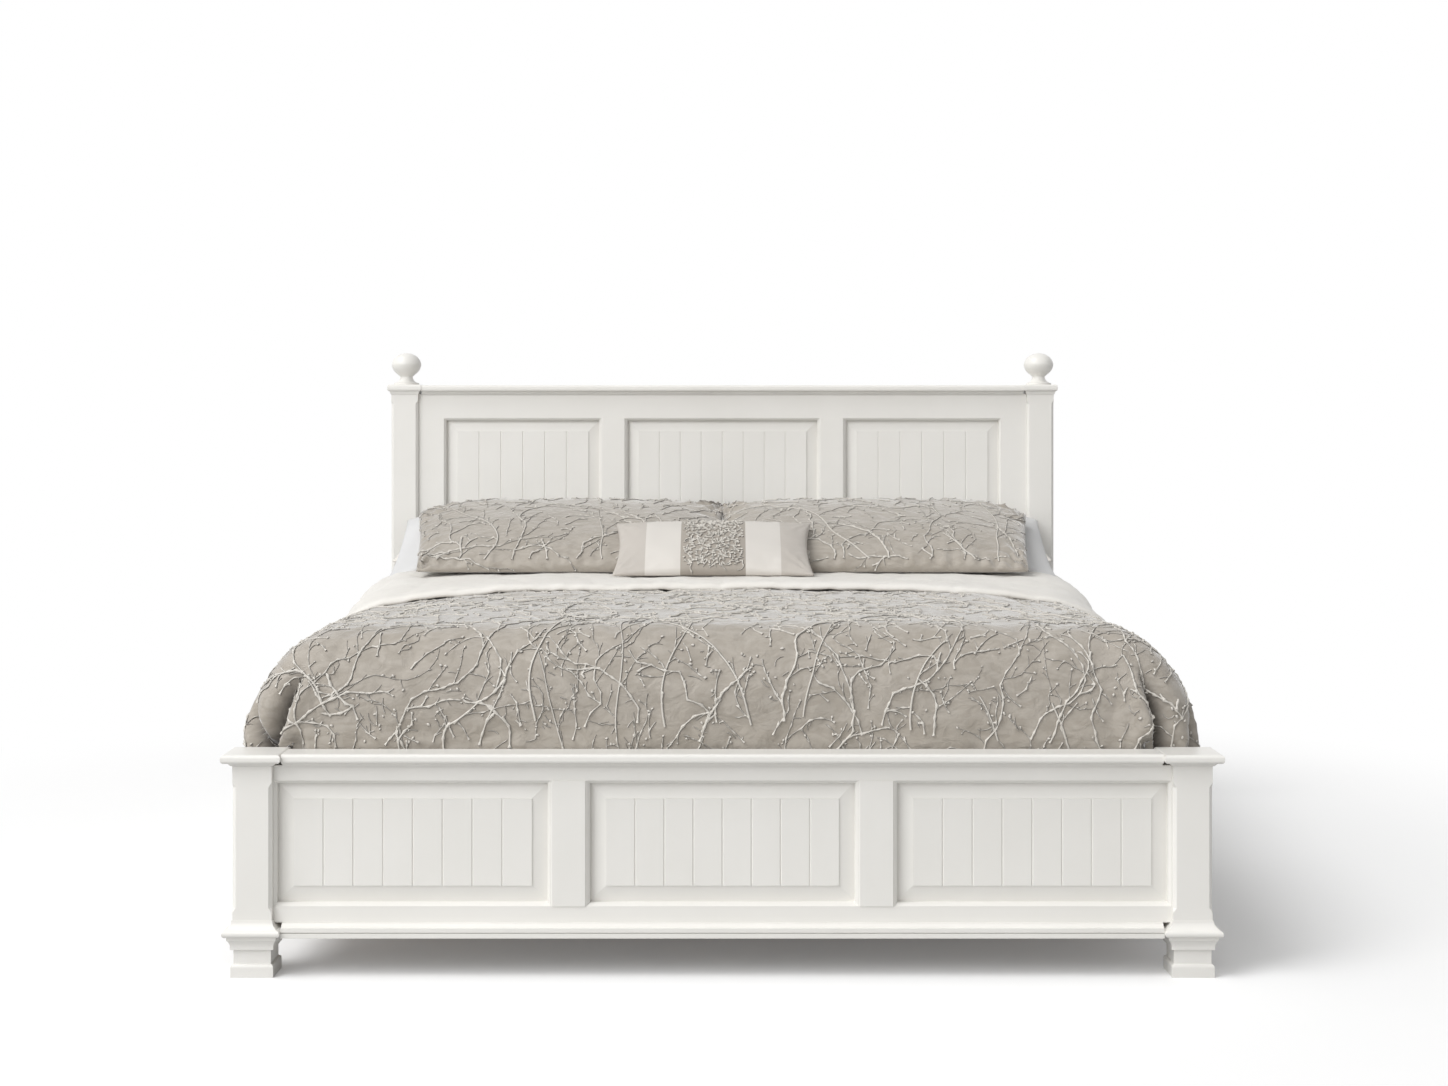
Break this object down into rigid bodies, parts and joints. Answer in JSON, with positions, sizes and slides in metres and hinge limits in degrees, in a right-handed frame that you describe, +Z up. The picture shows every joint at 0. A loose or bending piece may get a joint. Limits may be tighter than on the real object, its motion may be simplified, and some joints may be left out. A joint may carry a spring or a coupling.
{
  "type": "panel bed",
  "caption": "King-size painted panel bed with ball finials on the headboard, beaded raised panels, a low footboard on moulded feet, and grey embroidered bedding.",
  "frame": {"origin": "on the floor, under the middle of the bed's overall box", "axes": "+X to the right of someone at the foot, +Y from the footboard to the headboard, +Z up"},
  "size_m": [2.082, 2.276, 1.367],
  "materials": {
    "white_paint": "satin",
    "bare_pine": "matte",
    "steel": "satin",
    "leveller_plastic": "matte",
    "grey_fabric": "matte",
    "ivory_fabric": "satin",
    "white_fabric": "matte",
    "lumbar_fabric": "matte"
  },
  "bodies": {
    "root": {"beam_brackets": "steel", "bed_slats": "bare_pine", "box_springs": "white_fabric", "centre_beam": "bare_pine", "centre_legs": "bare_pine", "comforter": "grey_fabric", "cream_pillows": "ivory_fabric", "footboard_base_collar_left": "white_paint", "footboard_base_collar_right": "white_paint", "footboard_base_moulding": "white_paint", "footboard_bottom_rail": "white_paint", "footboard_cap_rail": "white_paint", "footboard_foot_left": "white_paint", "footboard_foot_right": "white_paint", "footboard_mid_stile_left": "white_paint", "footboard_mid_stile_right": "white_paint", "footboard_panel_centre": "white_paint", "footboard_panel_left": "white_paint", "footboard_panel_mouldings": "white_paint", "footboard_panel_right": "white_paint", "footboard_post_cap_left": "white_paint", "footboard_post_cap_right": "white_paint", "footboard_post_left": "white_paint", "footboard_post_right": "white_paint", "footboard_top_rail": "white_paint", "frame_screws": "steel", "headboard_bottom_rail": "white_paint", "headboard_cap_rail": "white_paint", "headboard_finial_left": "white_paint", "headboard_finial_right": "white_paint", "headboard_mid_stile_left": "white_paint", "headboard_mid_stile_right": "white_paint", "headboard_outer_stile_left": "white_paint", "headboard_outer_stile_right": "white_paint", "headboard_panel_centre": "white_paint", "headboard_panel_left": "white_paint", "headboard_panel_mouldings": "white_paint", "headboard_panel_right": "white_paint", "headboard_post_cap_left": "white_paint", "headboard_post_cap_right": "white_paint", "headboard_post_left": "white_paint", "headboard_post_right": "white_paint", "headboard_top_rail": "white_paint", "leveller_inserts": "steel", "lumbar_pillow": "lumbar_fabric", "mattress": "white_fabric", "panel_retaining_beads": "white_paint", "post_slot_plates": "steel", "rail_hook_plates": "steel", "sham_left": "grey_fabric", "sham_right": "grey_fabric", "side_rail_left": "white_paint", "side_rail_right": "white_paint", "slat_ledges": "bare_pine", "turned_down_sheet": "ivory_fabric", "white_pillow_left": "white_fabric", "white_pillow_right": "white_fabric"},
    "leveller_foot_end": {"levelling_foot_foot_end": "leveller_plastic"},
    "leveller_middle": {"levelling_foot_middle": "leveller_plastic"},
    "leveller_head_end": {"levelling_foot_head_end": "leveller_plastic"}
  },
  "joints": [
    {"name": "leveller_foot_end_travel", "type": "slide", "parent": "root", "child": "leveller_foot_end", "axis": [0, 0, 1], "range_m": [-0.015, 0.012]},
    {"name": "leveller_middle_travel", "type": "slide", "parent": "root", "child": "leveller_middle", "axis": [0, 0, 1], "range_m": [-0.015, 0.012]},
    {"name": "leveller_head_end_travel", "type": "slide", "parent": "root", "child": "leveller_head_end", "axis": [0, 0, 1], "range_m": [-0.015, 0.012]}
  ]
}
